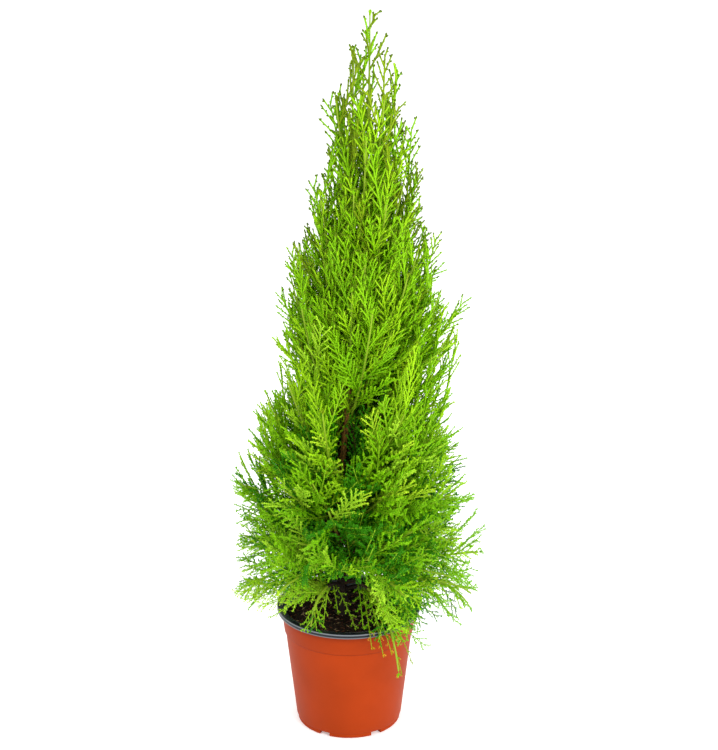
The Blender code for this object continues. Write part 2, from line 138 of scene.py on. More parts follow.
def branchLine(foot, azimuth, height, reach, out, up):
    halfWidth, middle = between(growth["crown"], height)
    tip = Vector((middle, 0, height)) + Vector((math.cos(azimuth), math.sin(azimuth), 0)) * halfWidth * reach
    bend = foot + (tip - foot) * out
    bend.z = foot.z + up
    return foot, bend, tip


def growBranches():
    dice = random.Random(growth["seed"])
    made = []
    for name, number, footHeight, tipHeight, reach, out, up, bare, first, shoots in growth["tiers"]:
        for index in range(number):
            own = f"{name}_{index + 1}"
            turn = dice.uniform(-growth["azimuthJitter"], growth["azimuthJitter"])
            azimuth = math.radians(first + 360 * index / number + turn)
            foot, girth = trunkAt(footHeight + growth["footStagger"] * (index * 2 % number))
            height = tipHeight + dice.uniform(-growth["heightJitter"], growth["heightJitter"])
            height, far = growth["ownTips"].get(own, (height, reach))
            line = branchLine(foot, azimuth, height, far, out, up)
            made.append(makeBranch(own, line, bare, shoots, girth * growth["branchShare"]))
    girth = growth["leaderRadius"]
    foot, tip = trunkAt(growth["trunk"][-1][0])[0], Vector(growth["leaderTip"])
    line = foot, foot.lerp(tip, 0.5), tip
    made.append(makeBranch("leader", line, 0.0, growth["leaderShoots"], girth))
    foot, tip = trunkAt(growth["secondFoot"])[0], Vector(growth["secondTip"])
    bend = foot.lerp(tip, 0.5)
    bend.x = tip.x - growth["secondBow"]
    made.append(makeBranch("second_leader", (foot, bend, tip), 0.0, growth["secondShoots"], girth))
    return made


def shootsOf(branch):
    # the solids' own shoots first, then extra finer ones between each two of them
    extra = foliage["extraShoots"]["leader" if "leader" in branch["name"] else branch["tier"]]
    dice = random.Random(branch["name"])
    longest = min(growth["shootLength"], lengthOf(branch) * (1 - branch["bare"]) * growth["shootOfStem"])
    leafless = branch["bare"] or growth["firstShoot"]
    before, after = growth["shootEnds"]
    made = []
    roll = dice.uniform(0, math.tau)
    count = branch["shoots"]
    for index in range(count):
        isTip = index == count - 1
        spread = dice.uniform(*growth["shootJitter"])
        for step in range(1 if isTip else extra + 1):
            along = (index + step / (extra + 1) + before) / (count - after)
            share = leafless + (1 - leafless) * min(along, growth["stemEnd"])
            root, ahead = pointOn(branch, share), headingOn(branch, share)
            across = ahead.orthogonal().normalized()
            across.rotate(Matrix.Rotation(roll + step * growth["golden"] * growth["fineTurn"], 3, ahead))
            wide = growth["shootFoot"] * (1 - growth["uprightCloses"] * max(ahead.z, 0))
            lean = wide + (growth["shootTip"] - wide) * along
            heading = ahead if isTip else ahead * math.cos(lean) + across * math.sin(lean)
            length = longest * (1 - growth["shootTaper"] * along) * spread
            if isTip:
                length = (branch["tip"] - root).length + growth["pastTip"]
            outwards = root - trunkAt(root.z)[0] + Vector((0, 0, growth["facesUp"]))
            facing = outwards.normalized() * growth["facesOut"] + across * (1 - growth["facesOut"])
            made.append((root, heading, facing, length, isTip))
        roll += growth["golden"]
    return made


# places where the foliage parts and shows what is behind: right, level, half width and height, the
# slope down to it, how far back it reaches, and the share of sprays that still cross it
partings = {
    "trunk": (-0.0035, 0.281, 0.008, 0.022, 0.365, 0.0, 0.0),
    "overTrunk": (0.013, 0.345, 0.006, 0.06, 0.365, -0.045, 0.3),
    "soil": (-0.02, 0.117, 0.042, 0.028, 0.47, -0.006, 0.1),
    "lowLeft": (-0.02, 0.213, 0.009, 0.012, 0.41, -0.034, 0.1),
    "lowRight": (0.0186, 0.228, 0.006, 0.009, 0.4, -0.034, 0.1),
    "lowMiddle": (-0.0004, 0.178, 0.01, 0.01, 0.43, -0.03, 0.1),
    "potLeft": (-0.035, 0.066, 0.03, 0.022, 0.5, -0.045, 0.0),
    "potRight": (0.035, 0.05, 0.05, 0.0235, 0.5, -0.05, 0.12),
}


def inZone(points, zone):
    right, level, wide, tall, slope, back, _ = zone
    within = np.abs(points[:, 2] + points[:, 1] * slope - level) < tall
    return within & (np.abs(points[:, 0] - right) < wide) & (points[:, 1] < back)


# finer boughs between the main ones: rounds of them per tier, set between its feet and the next
# tier's, and shorter ones that fill the heart of the crown
fillBoughs = {
    "seed": 11,
    "rounds": {"skirt": 1, "low": 3, "spread": 3, "rise": 2, "middle": 2, "upper": 2, "crest": 0},
    "heartRounds": {"skirt": 2, "low": 2, "spread": 2, "rise": 1, "middle": 1, "upper": 0, "crest": 0},
    "climb": 0.8,
    "girth": 0.0011,
    "shoots": 6,
    "bare": 0.16,
    "reach": (0.8, 1.0),
    "heartReach": (0.4, 0.62),
    "azimuthJitter": 9.0,
    "footJitter": 0.012,
    "tipJitter": 0.012,
    "nextRound": 0.31,  # how far each round turns past the one before, in boughs
    "soilShows": (200, 295),  # no finer skirt boughs between these azimuths
}


def growFillBoughs():
    dice = random.Random(fillBoughs["seed"])
    tiers = growth["tiers"]
    low, high = fillBoughs["soilShows"]
    made = []
    for level, (name, number, footHeight, tipHeight, _, out, up, _, first, _) in enumerate(tiers):
        above = tiers[min(level + 1, len(tiers) - 1)]
        rounds = fillBoughs["rounds"][name]
        for turn in range(rounds + fillBoughs["heartRounds"][name]):
            rise = (turn % max(rounds, 1) + 0.6) / (rounds + 0.4) * fillBoughs["climb"]
            reaches = fillBoughs["reach" if turn < rounds else "heartReach"]
            for index in range(number):
                jitter = dice.uniform(-fillBoughs["azimuthJitter"], fillBoughs["azimuthJitter"])
                places = index + 0.5 + fillBoughs["nextRound"] * turn
                azimuth = (first + 360 * places / number + jitter) % 360
                if name == "skirt" and low < azimuth < high:
                    continue
                height = footHeight + (above[2] - footHeight) * rise
                foot, _ = trunkAt(height + dice.uniform(0, fillBoughs["footJitter"]))
                height = tipHeight + (above[3] - tipHeight) * rise
                height += dice.uniform(-fillBoughs["tipJitter"], fillBoughs["tipJitter"])
                line = branchLine(foot, math.radians(azimuth), height, dice.uniform(*reaches), out, up)
                branch = makeBranch(f"{name}_{turn}{index}", line, fillBoughs["bare"],
                                    fillBoughs["shoots"], fillBoughs["girth"], isFill=True)
                path = np.array([pointOn(branch, i / 20) for i in range(21)])
                if not inZone(path, partings["trunk"]).any():
                    made.append(branch)
    return made


mainBranches = growBranches()
branches = mainBranches + growFillBoughs()
print("branches:", len(mainBranches), "main,", len(branches) - len(mainBranches), "finer")


# sprays: every shoot carries two rows of twigs, and each twig its needles
foliage = {
    "seed": 31,
    "extraShoots": {"skirt": 2, "low": 2, "spread": 2, "rise": 2, "middle": 2, "upper": 2, "crest": 1,
                    "leader": 0},
    "edgeSpare": 0.004,  # main boughs' sprays may pass the edge by this
    "tipSpare": 0.005,  # and so may every bough's last spray above raggedUpTo, while its others stay back
    "sideBack": 0.0015,
    "raggedUpTo": 0.24,
    "edgeRagged": {"low": (-0.03, -0.004), "high": (-0.014, 0.002)},  # finer boughs end between these
    "overPot": 0.1225,  # below this height sprays keep off the pot and the soil
    "roundPot": 0.0725,
    "innerShare": 0.62,  # sprays that end nearer the trunk than this are coarser
    "innerCoarse": 2.2,
    "innerLong": 1.5,
    "firstTwig": 0.07,  # along the spray
    "leafyShare": 0.93,
    "twigOfSpray": 0.34,  # no twig is longer than this share of its spray
    "twigJitter": (0.7, 1.15),
    "twigLeast": 0.0024,
    "twigSwell": (0.16, 0.74, 0.8),  # twigs are longest in the middle: start and width of the arch, power
    "leanFrom": 1.15,  # twigs close up towards the spray's tip
    "leanLoss": 0.35,
    "leanJitter": 4,
    "tilt": (0.04, 0.14),
    "trailTwigs": (0.5, 1.0),  # how long, thick and many the trailing sprays' twigs are beside the others'
    "trailTwigsAt": (0.125, 0.145),  # the heights of the tips that have these lengths
    "trailThick": 0.66,
    "trailShare": 0.8,
    "trailUpTo": 0.2,
    "stubPitch": 0.0042,
    "stubLean": math.radians(33),
    "stubJitter": (0.7, 1.2),
    "needlePitch": (0.0018, 0.003),  # low in the crown and high
    "needlePitchAt": (0.25, 0.45),
    "needleWidth": 0.0012,
    "needleLift": 0.00012,
    "budLength": (0.0028, 0.0056),  # low in the crown and high
    "budLengthAt": (0.33, 0.58),
    "budInTwig": 0.6,  # the share of it that sits on the twig
    "budSwell": 1.2,
    # height, bend of the spray upwards, angle and length of a needle, length of a stub, twigs' pitch,
    # longest twig, its lean, its radius, the spray axis's radius
    "byHeight": (
        (0.07, -0.2, 38, 0.0019, 0.0022, 0.004, 0.005, 42, 0.00042, 0.00055),
        (0.11, -0.15, 38, 0.002, 0.0026, 0.0038, 0.009, 46, 0.00048, 0.00062),
        (0.14, -0.1, 42, 0.0024, 0.0028, 0.0041, 0.013, 44, 0.0005, 0.00066),
        (0.2, 0.06, 40, 0.0024, 0.0028, 0.0041, 0.015, 38, 0.00054, 0.0007),
        (0.3, 0.2, 27, 0.0019, 0.0028, 0.0037, 0.018, 28, 0.00062, 0.00078),
        (0.45, 0.28, 16, 0.0017, 0.0028, 0.0038, 0.02, 22, 0.00074, 0.00088),
        (0.6, 0.18, 12, 0.0017, 0.0034, 0.0048, 0.018, 28, 0.00096, 0.0011),
        (0.69, 0.06, 11, 0.0017, 0.0038, 0.0056, 0.015, 31, 0.00108, 0.00122),
    ),
}

# sprays placed one by one, which trail over the soil and the rim or stand out of the crown's edge:
# bough, then how far along it, where the tip is, sag, tint, and the tint that it turns past the rim
placedByBough = (
    ("skirt_5", (0.2, -0.099, -0.03, 0.1374, 0.1, "bright"),
        (0.26, -0.082, -0.045, 0.1371, 0.1, "pale"), (0.16, -0.092, -0.03, 0.1529, 0.06, "lime"),
        (0.22, -0.069, -0.05, 0.157, 0.06, "pale"), (0.12, -0.08, -0.02, 0.148, 0.08, "bright"),
        (0.2, -0.06, -0.055, 0.142, 0.1, "pale"), (0.3, -0.0746, -0.045, 0.1257, 0.1, "lime"),
        (0.26, -0.0429, -0.05, 0.1208, 0.16, "pale"), (0.22, -0.0345, -0.05, 0.114, 0.16, "bright"),
        (0.3, -0.0243, -0.045, 0.1152, 0.2, "pale"), (0.18, -0.0101, -0.034, 0.124, 0.2, "lime"),
        (0.14, 0.0072, -0.05, 0.1156, 0.2, "pale")),
    ("skirt_6", (0.2, 0.014, -0.06, 0.122, 0.2, "fresh"),
        (0.24, 0.0221, -0.078, 0.1089, 0.3, "fresh", "amber"),
        (0.26, 0.031, -0.07, 0.119, 0.26, "pale"),
        (0.3, 0.0409, -0.078, 0.1036, 0.34, "fresh", "amber"),
        (0.34, 0.0484, -0.07, 0.1151, 0.28, "bright"),
        (0.4, 0.0505, -0.075, 0.0813, 0.5, "fresh", "olive"),
        (0.44, 0.0608, -0.072, 0.0901, 0.46, "fresh", "olive")),
    # the sprays tinted deep in these rows fill the back of the skirt; their deep tint is painted shade
    ("skirt_3", (0.12, -0.04, 0.03, 0.144, 0.1, "deep")),
    ("skirt_4", (0.12, -0.05, 0.032, 0.142, 0.1, "deep"), (0.18, -0.056, 0.004, 0.146, 0.1, "deep")),
    ("skirt_3", (0.15, -0.032, 0.06, 0.13, 0.1, "deep"), (0.15, -0.03, 0.066, 0.124, 0.14, "deep"),
        (0.13, -0.02, 0.064, 0.125, 0.14, "deep"), (0.2, -0.042, 0.06, 0.126, 0.14, "deep")),
    ("low_5", (0.25, -0.06, -0.045, 0.165, 0.05, "fresh"),
        (0.2, -0.048, -0.056, 0.168, 0.05, "fresh")),
    ("skirt_3", (0.2, -0.056, 0.045, 0.134, 0.1, "deep"), (0.1, -0.012, 0.055, 0.13, 0.1, "deep")),
    ("skirt_2", (0.15, 0.014, 0.058, 0.13, 0.1, "deep"), (0.2, 0.038, 0.055, 0.132, 0.1, "deep")),
    ("skirt_4", (0.1, -0.048, 0.015, 0.133, 0.1, "deep"),
        (0.15, -0.05, -0.012, 0.14, 0.1, "deep")),
    ("skirt_1", (0.15, 0.048, 0.01, 0.133, 0.1, "deep")),
    ("skirt_6", (0.3, 0.033, -0.078, 0.101, 0.34, "fresh", "amber")),
    ("skirt_3", (0.12, -0.042, 0.05, 0.127, 0.1, "deep"), (0.1, -0.035, 0.046, 0.129, 0.08, "deep")),
    ("skirt_4", (0.1, -0.026, 0.05, 0.127, 0.08, "deep")),
    ("skirt_5", (0.14, -0.1065, -0.03, 0.1456, 0.05, "bright"),
        (0.12, -0.096, -0.038, 0.145, 0.06, "pale"), (0.16, -0.099, -0.022, 0.154, 0.05, "lime"),
        (0.18, -0.086, -0.05, 0.14, 0.08, "bright")),
    ("crest_3", (0.55, -0.0157, -0.004, 0.6097, -0.12, "leaf")),
    ("upper_3", (0.7, -0.0305, -0.004, 0.5343, -0.12, "leaf")),
    ("middle_4", (0.62, -0.051, -0.004, 0.4734, -0.12, "lime")),
    ("middle_5", (0.72, -0.0616, -0.004, 0.432, -0.12, "leaf")),
    ("middle_1", (0.62, 0.1065, -0.004, 0.4253, -0.12, "leaf")),
    ("middle_2", (0.7, 0.0809, -0.004, 0.4864, -0.12, "lime")),
    ("upper_1", (0.8, 0.0572, -0.004, 0.5866, -0.12, "leaf"),
        (0.55, 0.063, -0.004, 0.5461, -0.12, "olive")),
)
placed = [(bough, *spray) for bough, *sprays in placedByBough for spray in sprays]

# sRGB colours of the sprays, and how often each comes in the heart of the crown and at its edge
sprayTints = {
    "deep": (56, 132, 0),
    "fresh": (128, 190, 8),
    "pale": (170, 216, 46),
    "leaf": (136, 196, 6),
    "lime": (158, 208, 18),
    "bright": (182, 220, 42),
    "olive": (134, 164, 14),
    "amber": (204, 158, 26),
}
# low in the crown the heart mostly takes the deep tint, painted shade of the crown's inside; higher up the
# heart takes brighter tints than the edge, painted light that stands in for light through the leaves
tintChances = (  # height, then in the heart, then at the edge
    (0.22, (9, 2, 0, 0, 0, 0, 0, 0), (0.8, 6, 2.5, 0.5, 0.8, 0.3, 0, 0)),
    (0.29, (2, 1, 0, 6, 1, 0, 0, 0), (0, 1, 1, 4, 3.5, 0.8, 0.2, 0)),
    (0.42, (0.5, 1, 0.5, 4, 4, 0.4, 0, 0), (0, 0.5, 0, 6.5, 2.5, 0.2, 0.4, 0)),
    (0.54, (0, 0, 0.5, 4, 5, 0.5, 0.5, 0), (0, 0, 0, 6, 2, 0, 2, 0)),
    (0.62, (0, 0, 0, 2, 1.5, 0, 5.5, 0), (0, 0, 0, 2, 1, 0, 7, 0)),
)
budTints = {"high": (96, 122, 10), "rim": (216, 140, 40)}
stemTints = {"wood": (84, 58, 34), "lime": (146, 190, 34)}
tinting = {
    "heartEnds": ((0.25, 0.58), (0.42, 0.3)),  # height, share of the way out where the heart's tints end
    "fade": 0.35,  # and how far past it they still mix
    # painted shade: where the sprays in front keep the heart's deeper tints, a zone as the partings are
    "shade": (0.012, 0.185, 0.044, 0.036, 0.44, -0.02, 0.32),
    "dullFrom": (0.33, 0.5),  # twig ends turn dull between these heights
    "dullShare": (0, 0.9),
    "rimBelow": 0.112,  # sprays that end below this, in front and to the right, hang over the rim
    "rimFront": -0.06,
    "rimShare": 0.9,
    "rimStems": "olive",
    "woodyWithin": 0.45,
    "woodyBelow": 0.3,
    "ownAbove": 0.32,  # a spray's stem has the spray's own tint above this
}


def toLinear(rgb):
    return [((c / 255 + 0.055) / 1.055) ** 2.4 if c > 10 else c / 255 / 12.92 for c in rgb]


def plainMaterial(name, rgb, roughness, specular=0.3):
    material = bpy.data.materials.new(name)
    material.use_nodes = True
    shader = material.node_tree.nodes["Principled BSDF"]
    shader.inputs["Base Color"].default_value = (*toLinear(rgb), 1)
    shader.inputs["Roughness"].default_value = roughness
    shader.inputs["Specular IOR Level"].default_value = specular
    return material


def unit(v):
    return v / np.maximum(np.linalg.norm(v, axis=-1, keepdims=True), 1e-12)


def byHeight(height, column):
    rows = foliage["byHeight"]
    return np.interp(height, [row[0] for row in rows], [row[column] for row in rows])


def outness(points):
    # 0 at the crown's middle line, 1 at its edge
    heights, left, right = zip(*growth["edge"])
    left, right = np.interp(points[:, 2], heights, left), np.interp(points[:, 2], heights, right)
    half = (right - left) / 2
    reach = np.hypot(points[:, 0] - (left + right) / 2, points[:, 1])
    return reach / half, reach - half


def inReach(points, luck, spare):
    # inside the crown's edge, clear of the pot and the soil, and in no parting
    _, beyond = outness(points)
    fine = (beyond < spare) & (points[:, 2] < growth["edge"][-1][0])
    fine &= (points[:, 2] > foliage["overPot"]) | (np.hypot(points[:, 0], points[:, 1]) > foliage["roundPot"])
    for zone in partings.values():
        fine &= ~(inZone(points, zone) & (luck > zone[-1]))
    return fine


def growSprays(dice):
    rows = np.array([(number, *root, *heading, *facing, length, isTip)
                     for number, branch in enumerate(branches)
                     for root, heading, facing, length, isTip in shootsOf(branch)], float)
    owner = rows[:, 0].astype(int)
    root, heading, facing = rows[:, 1:4], unit(rows[:, 4:7]), unit(rows[:, 7:10])
    length, isTip = rows[:, 10], rows[:, 11] > 0
    bend = np.zeros_like(root)
    bend[:, 2] = np.where(isTip, 0, byHeight(root[:, 2], 1))
    isMain = np.array([not branch["isFill"] for branch in branches])
    isLow = np.array([branch["tip"].z < foliage["raggedUpTo"] for branch in branches])
    low, high = (dice.uniform(*foliage["edgeRagged"][key], len(branches)) for key in ("low", "high"))
    spare = np.where(isMain, foliage["edgeSpare"], np.where(isLow, low, high))[owner]
    spare = np.where(isLow[owner], spare, np.where(isTip, foliage["tipSpare"], spare - foliage["sideBack"]))
    luck = dice.uniform(0, 1, len(rows))
    kept = np.zeros(len(rows))
    for size in reversed(growth["tries"]):
        fine = np.ones(len(rows), bool)
        for t in (0.3, 0.5, 0.75, 1.0):
            fine &= inReach(root + (heading * t + bend * t * t) * (length * size)[:, None], luck, spare)
        kept = np.where(fine, size, kept)
    overPot = inZone(root + (heading + bend) * length[:, None], partings["potLeft"])
    kept = np.where(isTip & isMain[owner] & ~overPot, 1.0, kept)
    keep = kept > 0
    sprays = {"owner": owner[keep], "root": root[keep], "heading": heading[keep], "bend": bend[keep],
              "facing": facing[keep], "length": (length * kept)[keep]}
    names = [branch["name"] for branch in branches]
    for name, share, x, y, z, sag, *_ in placed:
        start = pointOn(branches[names.index(name)], share)
        way = Vector((x, y, z)) - start
        ahead = way.normalized() + Vector((0, 0, sag))
        own = {"owner": names.index(name), "root": start, "heading": ahead.normalized(),
               "facing": (0, -0.6, 0.8), "bend": Vector((0, 0, -sag)) / ahead.length,
               "length": way.length * ahead.length}
        for key, value in own.items():
            sprays[key] = np.concatenate([sprays[key], np.array([value])])
    number = np.arange(len(sprays["owner"]))
    sprays["end"], _ = onSpray(sprays, number, np.ones(len(number)))
    sprays["outness"] = np.clip(outness(sprays["end"])[0], 0, 1)
    sprays["outness"][-len(placed):] = [row[-1] != "deep" for row in placed]
    isPlaced = number >= len(number) - len(placed)
    sprays["isTrailing"] = isPlaced & (sprays["end"][:, 2] < foliage["trailUpTo"])
    print("sprays:", len(number))
    return sprays


def onSpray(sprays, which, t):
    t = t[:, None]
    length = sprays["length"][which][:, None]
    place = sprays["root"][which] + (sprays["heading"][which] * t + sprays["bend"][which] * t * t) * length
    return place, unit(sprays["heading"][which] + 2 * sprays["bend"][which] * t)


def steps(count):
    # for each of many counts: which one, and its number in the count
    return np.repeat(np.arange(len(count)), count), np.concatenate([np.arange(n) for n in count])


def copyFaces(pattern, count, corners):
    # the same faces for each of many shapes that have this many corners
    return (np.arange(count)[:, None, None] * corners + np.array(pattern)).reshape(-1, 3)


def joined(meshes):
    # the corners and faces of several meshes as one mesh's
    corners, faces = zip(*meshes)
    before = np.cumsum([0] + [len(part) for part in corners[:-1]])
    return np.concatenate(corners), np.concatenate([part + first for part, first in zip(faces, before)])


def byTurns(facing, along, order):
    # to one side of a spray and then the other
    return unit(np.cross(facing, along)) * np.where(order % 2, 1, -1)[:, None]


def growTwigs(sprays, dice):
    # two rows of twigs, by turns on each side of the spray's axis
    middle, _ = onSpray(sprays, np.arange(len(sprays["length"])), np.full(len(sprays["length"]), 0.5))
    count = sprays["length"] * foliage["leafyShare"] / byHeight(middle[:, 2], 5)
    count *= np.where(sprays["isTrailing"], foliage["trailShare"], 1)
    count = np.maximum(count.astype(int), 3)
    which, order = steps(count)
    t = order + dice.uniform(0.3, 0.7, len(order))
    t = foliage["firstTwig"] + foliage["leafyShare"] * t / count[which]
    place, along = onSpray(sprays, which, t)
    side = byTurns(sprays["facing"][which], along, order)
    face = unit(np.cross(along, side))
    lean = byHeight(place[:, 2], 7) * (foliage["leanFrom"] - foliage["leanLoss"] * t)
    lean = np.radians(lean + dice.normal(0, foliage["leanJitter"], len(t)))[:, None]
    tilt = dice.normal(*foliage["tilt"], len(t))[:, None]
    heading = unit(along * np.cos(lean) + side * np.sin(lean) + face * tilt)
    start, wide, power = foliage["twigSwell"]
    swell = np.sin(math.pi * np.clip(start + wide * t, 0, 1)) ** power
    longest = np.minimum(byHeight(place[:, 2], 6), sprays["length"][which] * foliage["twigOfSpray"])
    length = longest * swell * dice.uniform(*foliage["twigJitter"], len(t)) + foliage["twigLeast"]
    isTrailing = sprays["isTrailing"][which]
    trail = np.interp(sprays["end"][which, 2], foliage["trailTwigsAt"], foliage["trailTwigs"])
    length *= np.where(isTrailing, trail, 1)
    radius = byHeight(place[:, 2], 8) * np.where(isTrailing, foliage["trailThick"], 1)
    return {"which": which, "root": place, "heading": heading, "length": length,
            "end": place + heading * length[:, None], "radius": radius}


def growStubs(sprays, twigs, dice):
    # short blunt shoots, by turns on each side of a twig
    count = ((twigs["length"] - 0.001) / foliage["stubPitch"]).astype(int)
    spray = twigs["which"]
    isBare = (sprays["outness"][spray] < foliage["innerShare"]) | sprays["isTrailing"][spray]
    which, order = steps(np.where(isBare, 0, count))
    share = (order + dice.uniform(0.6, 1.0, len(order))) / (count[which] + 0.4)
    along = twigs["heading"][which]
    root = twigs["root"][which] + along * (share * twigs["length"][which])[:, None]
    side = byTurns(sprays["facing"][spray[which]], along, order)
    lean = (foliage["stubLean"] * dice.uniform(0.8, 1.2, len(order)))[:, None]
    tilt = dice.normal(0, 0.2, len(order))[:, None]
    heading = unit(along * np.cos(lean) + side * np.sin(lean) + np.cross(along, side) * tilt)
    length = byHeight(root[:, 2], 4) * dice.uniform(*foliage["stubJitter"], len(order))
    return which, root, root + heading * length[:, None]


def needleMesh(root, along, radial, angle, length, width):
    # a needle is a kite folded along its middle
    outward = unit(along * np.cos(angle)[:, None] + radial * np.sin(angle)[:, None])
    wide = unit(np.cross(outward, radial)) * (width / 2)[:, None]
    belly = root + outward * (length * 0.45)[:, None]
    lift = radial * foliage["needleLift"]
    corners = np.stack([root, belly - wide + lift, root + outward * length[:, None], belly + wide + lift], 1)
    return corners.reshape(-1, 3), copyFaces([(0, 1, 2), (0, 2, 3)], len(root), 4)


def growNeedles(sprays, twigs, dice):
    # pairs of needles stand crosswise, pair over pair, on every twig and on the spray's own axis
    coarse = np.where(sprays["outness"] < foliage["innerShare"], foliage["innerCoarse"], 1.0)
    pitch = np.interp(twigs["root"][:, 2], foliage["needlePitchAt"], foliage["needlePitch"])
    count = np.maximum((twigs["length"] / (pitch * coarse[twigs["which"]])).astype(int), 2)
    which, order = steps(count)
    along = twigs["heading"][which]
    root = twigs["root"][which] + along * ((order + 0.5) / count[which] * twigs["length"][which])[:, None]

    count = np.maximum((sprays["length"] / foliage["needlePitch"][1]).astype(int), 2)
    axisWhich, axisOrder = steps(count)
    axisRoot, axisAlong = onSpray(sprays, axisWhich, (axisOrder + 0.5) / count[axisWhich])

    root = np.concatenate([root, axisRoot])
    along = np.concatenate([along, axisAlong])
    owner = np.concatenate([twigs["which"][which], axisWhich])
    order = np.concatenate([order, axisOrder])
    radius = np.concatenate([twigs["radius"][which], byHeight(axisRoot[:, 2], 9)])[:, None]

    side = unit(np.cross(sprays["facing"][owner], along))
    face = np.cross(along, side)
    spread, size = np.radians(byHeight(root[:, 2], 2)), byHeight(root[:, 2], 3)
    width = foliage["needleWidth"] * coarse[owner]
    longer = np.where(coarse[owner] > 1, foliage["innerLong"], 1)
    made = []
    for turn in (0.0, math.pi):
        roll = turn + (order % 2 == 0) * math.pi / 2 + dice.normal(0, 0.2, len(order))
        radial = side * np.cos(roll)[:, None] + face * np.sin(roll)[:, None]
        angle = spread * dice.uniform(0.8, 1.2, len(order))
        length = size * dice.uniform(0.85, 1.15, len(order)) * longer
        made.append(needleMesh(root + radial * radius * 0.5, along, radial, angle, length, width))
    return *joined(made), np.repeat(np.tile(owner, 2), 2)


def ringAt(middle, side, face, radius):
    # three corners round each of many places
    return [middle + (side * math.cos(a) + face * math.sin(a)) * radius[:, None] for a in (0, 2.0944, 4.1888)]


def ringsRound(start, end, rings):
    # round many short shoots: rings gives shares of the way and radii
    along = unit(end - start)
    side = unit(np.cross(along, np.where(np.abs(along[:, 2:3]) < 0.9, [[0, 0, 1]], [[1, 0, 0]])))
    face = np.cross(along, side)
    made = [ringAt(start + (end - start) * share, side, face, radius) for share, radius in rings]
    return sum(made, [])


def rodMesh(start, end, radius):
    # three-sided, blunt, closed at both ends
    corners = np.stack(ringsRound(start, end, ((0, radius), (1, radius * 0.8))), 1).reshape(-1, 3)
    pattern = [(0, 2, 1), (3, 4, 5), (0, 1, 4), (0, 4, 3), (1, 2, 5), (1, 5, 4), (2, 0, 3), (2, 3, 5)]
    return corners, copyFaces(pattern, len(start), 6)


def clubMesh(start, end, radius):
    # three-sided and thickest near its end
    corners = np.stack([start, *ringsRound(start, end, ((0.72, radius),)), end], 1).reshape(-1, 3)
    pattern = [(0, 2, 1), (0, 3, 2), (0, 1, 3), (1, 2, 4), (2, 3, 4), (3, 1, 4)]
    return corners, copyFaces(pattern, len(start), 5)


def axisMesh(sprays, rings=6):
    # a three-sided tapering tube along each spray's axis
    number = len(sprays["length"])
    corners = []
    for ring in range(rings):
        t = np.full(number, ring / (rings - 1))
        place, along = onSpray(sprays, np.arange(number), t)
        side = unit(np.cross(sprays["facing"], along))
        corners += ringAt(place, side, np.cross(along, side), byHeight(place[:, 2], 9) * (1 - 0.3 * t))
    pattern = []
    for ring in range(rings - 1):
        for k in range(3):
            a, b = ring * 3 + k, ring * 3 + (k + 1) % 3
            pattern += [(a, b, b + 3), (a, b + 3, a + 3)]
    last = (rings - 1) * 3
    pattern += [(0, 2, 1), (last, last + 1, last + 2)]
    return np.stack(corners, 1).reshape(-1, 3), copyFaces(pattern, number, rings * 3)


def meshPiece(name, corners, faces, tints, materials):
    used, faces = np.unique(faces, return_inverse=True)
    mesh = bpy.data.meshes.new(name)
    mesh.from_pydata(corners[used], [], faces.reshape(-1, 3), shade_flat=False)
    for material in materials:
        mesh.materials.append(material)
    mesh.polygons.foreach_set("material_index", tints.astype(np.int32))
    piece = bpy.data.objects.new(name, mesh)
    bpy.context.scene.collection.objects.link(piece)
    return piece


def foliagePiece(name, corners, faces, tints, materials):
    piece = meshPiece(name, corners, faces, tints, materials)
    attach(piece, "root")
    return piece


def dealTints(sprays, dice):
    # each spray takes one tint: low in the crown deeper ones in the heart, painted shade, and brighter ones
    # at the edge; higher up brighter ones in the heart, painted light
    height = sprays["root"][:, 2]
    share = sprays["outness"] - np.interp(height, *zip(*tinting["heartEnds"]))
    share = np.clip(share / tinting["fade"], 0, 1)
    # painted shade: sprays that end in the shade zone keep more of the heart's deeper tints
    isShaded = inZone(sprays["end"], tinting["shade"]) & ~sprays["isTrailing"]
    share = np.where(isShaded, share * tinting["shade"][-1], share)[:, None]
    heights, *rows = zip(*tintChances)
    heart, edge = (np.stack([np.interp(height, heights, [row[k] / sum(row) for row in column])
                             for k in range(len(sprayTints))], 1) for column in rows)
    chances = np.cumsum(heart * (1 - share) + edge * share, 1)
    tint = (dice.uniform(0, 1, (len(share), 1)) > chances).sum(1).clip(0, len(sprayTints) - 1)
    tint[-len(placed):] = [list(sprayTints).index(row[6]) for row in placed]
    turned = tint.copy()
    turned[-len(placed):] = [list(sprayTints).index(row[-1]) for row in placed]
    return tint, turned


